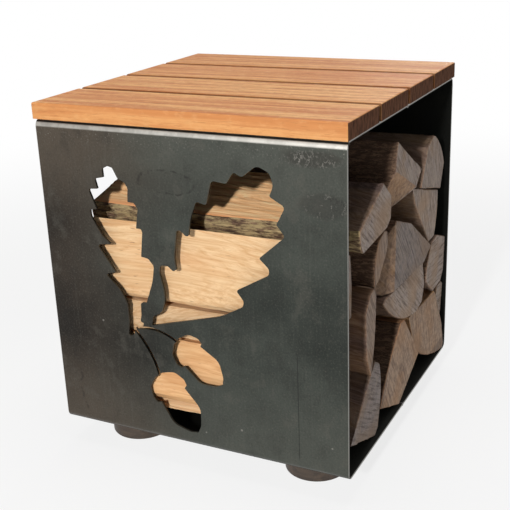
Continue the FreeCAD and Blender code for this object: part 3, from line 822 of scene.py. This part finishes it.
def mark_log(piece, look):
    """Stores what the reliefs and the finish read: sides, rims, pith line, weather with painted shade, tint
    and other levels.
    """
    mesh = piece.data
    count = len(mesh.vertices)
    bark_turn = math.radians(look.bark_turn)
    outward = Vector((0, math.cos(bark_turn), math.sin(bark_turn)))
    middle = sum((vertex.co for vertex in mesh.vertices), Vector()) / count
    bark_top = max((vertex.co - middle).dot(outward) for vertex in mesh.vertices)
    pith = middle + outward * (bark_top - look.girth)
    pith.x = 0.0

    bark_side, split_side, ends = log_sides(mesh, outward)
    for group_name, side in (("bark_side", bark_side), ("split_side", split_side)):
        group = piece.vertex_groups.new(name=group_name)
        group.add(list(side - ends), 1.0, "REPLACE")
        group.add(list(side & ends), RIM_SHARE, "REPLACE")
    rim = ends & (bark_side | split_side)
    for group_name, sense in (("left_rim", -1), ("right_rim", 1)):
        group = piece.vertex_groups.new(name=group_name)
        here = [index for index in rim if (mesh.vertices[index].co.x - middle.x) * sense > 0]
        group.add(here, 1.0, "REPLACE")

    for side_name, side in (("bark", bark_side), ("rim", rim)):
        store(mesh, side_name, "FLOAT", [float(index in side) for index in range(count)])
    # painted shade: the weather rises and the tint changes toward the right end, which lies in shade
    weather_and_shade = []
    tint = []
    middle_worn_and_shaded, end_worn_and_shaded = look.worn
    middle_tint, end_tint = (Vector((*tone, 1.0)) for tone in look.tints)
    for vertex in mesh.vertices:
        toward_end = min(max((vertex.co.x - RIGHT_END_SHADE_FROM) / RIGHT_END_SHADE_RUN, 0.0), 1.0)
        weather_and_shade.append(middle_worn_and_shaded + (end_worn_and_shaded - middle_worn_and_shaded) * toward_end)
        tint.extend(middle_tint.lerp(end_tint, toward_end))
    store(mesh, "weather_and_shade", "FLOAT", weather_and_shade)
    store(mesh, "lichen", "FLOAT", [look.lichen] * count)
    store(mesh, "girth", "FLOAT", [look.girth] * count)
    store(mesh, "saw_turn", "FLOAT", [math.radians(look.saw_turn)] * count)
    store(mesh, "pith", "FLOAT_VECTOR", list(pith) * count)
    store(mesh, "tint", "FLOAT_COLOR", tint)


def cloudy_relief(name, detail, along, across):
    """A cloud texture, and an empty whose scale stretches it along the grain."""
    texture = bpy.data.textures.new(name, "CLOUDS")
    texture.noise_scale = RELIEF_SIZE
    texture.noise_depth = detail
    guide = bpy.data.objects.new(name + "_guide", None)
    guide.scale = (along, across, across)
    bpy.context.scene.collection.objects.link(guide)
    return texture, guide


def press(piece, relief, group, depth, direction="NORMAL", level=SIDE_LEVEL):
    """Presses a relief into the part of a log that the group names."""
    texture, guide = relief
    press_in = piece.modifiers.new(texture.name, "DISPLACE")
    press_in.texture = texture
    press_in.texture_coords = "OBJECT"
    press_in.texture_coords_object = guide
    press_in.vertex_group = group
    press_in.direction = direction
    press_in.mid_level = level
    press_in.strength = depth
    bpy.ops.object.modifier_apply(modifier=press_in.name)


def split_logs():
    """All logs, with reliefs that are put away afterwards."""
    finish = firewood()
    reliefs = {
        "waves": cloudy_relief("waves", detail=1, along=0.22, across=0.045),
        "fibres": cloudy_relief("fibres", detail=3, along=0.2, across=0.012),
        "bark": cloudy_relief("bark", detail=4, along=0.07, across=0.011),
        "ragged": cloudy_relief("ragged", detail=3, along=0.3, across=0.014),
    }
    for name in LOG_LOOKS:
        split_log(name, finish, reliefs)
    for texture, guide in reliefs.values():
        bpy.data.objects.remove(guide)
        bpy.data.textures.remove(texture)


def dress(names, finish):
    """Gives CAD pieces their finish."""
    for name in names:
        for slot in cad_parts[name].material_slots:
            slot.material = finish


def pale_floor():
    """A matt floor that looks white where it is seen directly, more so away from the bench."""
    pale = Finish("pale_floor")
    matt = pale.add("ShaderNodeBsdfDiffuse", inputs={"Color": paint(236, 236, 235)})
    glow = pale.add("ShaderNodeEmission", inputs={"Color": paint(255, 255, 255), "Strength": 1.0})
    away = (pale.x * pale.x + pale.y * pale.y) ** 0.5
    lift = FLOOR_LIFT + away.rise(*FLOOR_WHITE) * (1 - FLOOR_LIFT)
    share = pale.seen_directly() * lift
    return pale.shown(pale.add("ShaderNodeMixShader", inputs={0: share, 1: matt, 2: glow}))


def pale_surround():
    """A surround that is white where it is seen directly, and lights the bench only a little."""
    world = bpy.data.worlds.new("pale_surround")
    bpy.context.scene.world = world
    world.use_nodes = True
    surround = Nodes(world.node_tree)
    seen = surround.seen_directly()
    strength = surround.add("ShaderNodeMapRange", inputs={"Value": seen, "To Min": AMBIENT, "To Max": 1.0})
    light = surround.add("ShaderNodeBackground", inputs={"Color": paint(255, 255, 255), "Strength": strength})
    surround.add("ShaderNodeOutputWorld", inputs={"Surface": light})


def soft_lamp(name, place, size, power):
    """A round lamp that is turned to the bench."""
    lamp = bpy.data.lights.new(name, "AREA")
    lamp.shape = "DISK"
    lamp.size = size
    lamp.energy = power
    stand = bpy.data.objects.new(name, lamp)
    stand.location = place
    stand.rotation_euler = (LIT_SPOT - place).to_track_quat("-Z", "Y").to_euler()
    bpy.context.scene.collection.objects.link(stand)


def photo_camera():
    """The camera, turned by its azimuth, elevation and roll."""
    back = Vector((
        math.sin(CAMERA_AZIMUTH) * math.cos(CAMERA_ELEVATION),
        -math.cos(CAMERA_AZIMUTH) * math.cos(CAMERA_ELEVATION),
        math.sin(CAMERA_ELEVATION),
    ))
    level = Vector((math.cos(CAMERA_AZIMUTH), math.sin(CAMERA_AZIMUTH), 0))
    upright = back.cross(level)
    right = level * math.cos(CAMERA_ROLL) + upright * math.sin(CAMERA_ROLL)
    up = upright * math.cos(CAMERA_ROLL) - level * math.sin(CAMERA_ROLL)
    turn = Matrix((right, up, back)).transposed().to_4x4()
    camera_data = bpy.data.cameras.new("camera")
    camera_data.sensor_width = CAMERA_SENSOR
    camera_data.lens = CAMERA_LENS
    camera = bpy.data.objects.new("camera", camera_data)
    camera.matrix_world = Matrix.Translation(CAMERA_PLACE) @ turn
    bpy.context.scene.collection.objects.link(camera)
    bpy.context.scene.camera = camera


# The bench
slats = [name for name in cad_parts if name.startswith("slat_") and name != "slat_screws"]
feet = [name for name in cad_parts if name.startswith("foot_") and name != "foot_screws"]
dress(["front_shell", "rear_shell"], rolled_steel())
dress(["top_weld", "bottom_weld"], weld_bead())
dress(["slat_screws", "foot_screws"], bright_zinc())
dress(slats, seat_board())
dress(feet, dark_turned_foot())
split_logs()

# The stage
bpy.ops.object.select_all(action="DESELECT")
bpy.ops.mesh.primitive_plane_add(size=FLOOR_SIZE, location=(0, 0, 0))
floor = bpy.context.object
floor.name = "floor"
floor.data.materials.append(pale_floor())
for lamp_name, (lamp_place, lamp_size, lamp_power) in LAMPS.items():
    soft_lamp(lamp_name, lamp_place, lamp_size, lamp_power)
pale_surround()
photo_camera()
bpy.context.scene.view_settings.view_transform = "Standard"
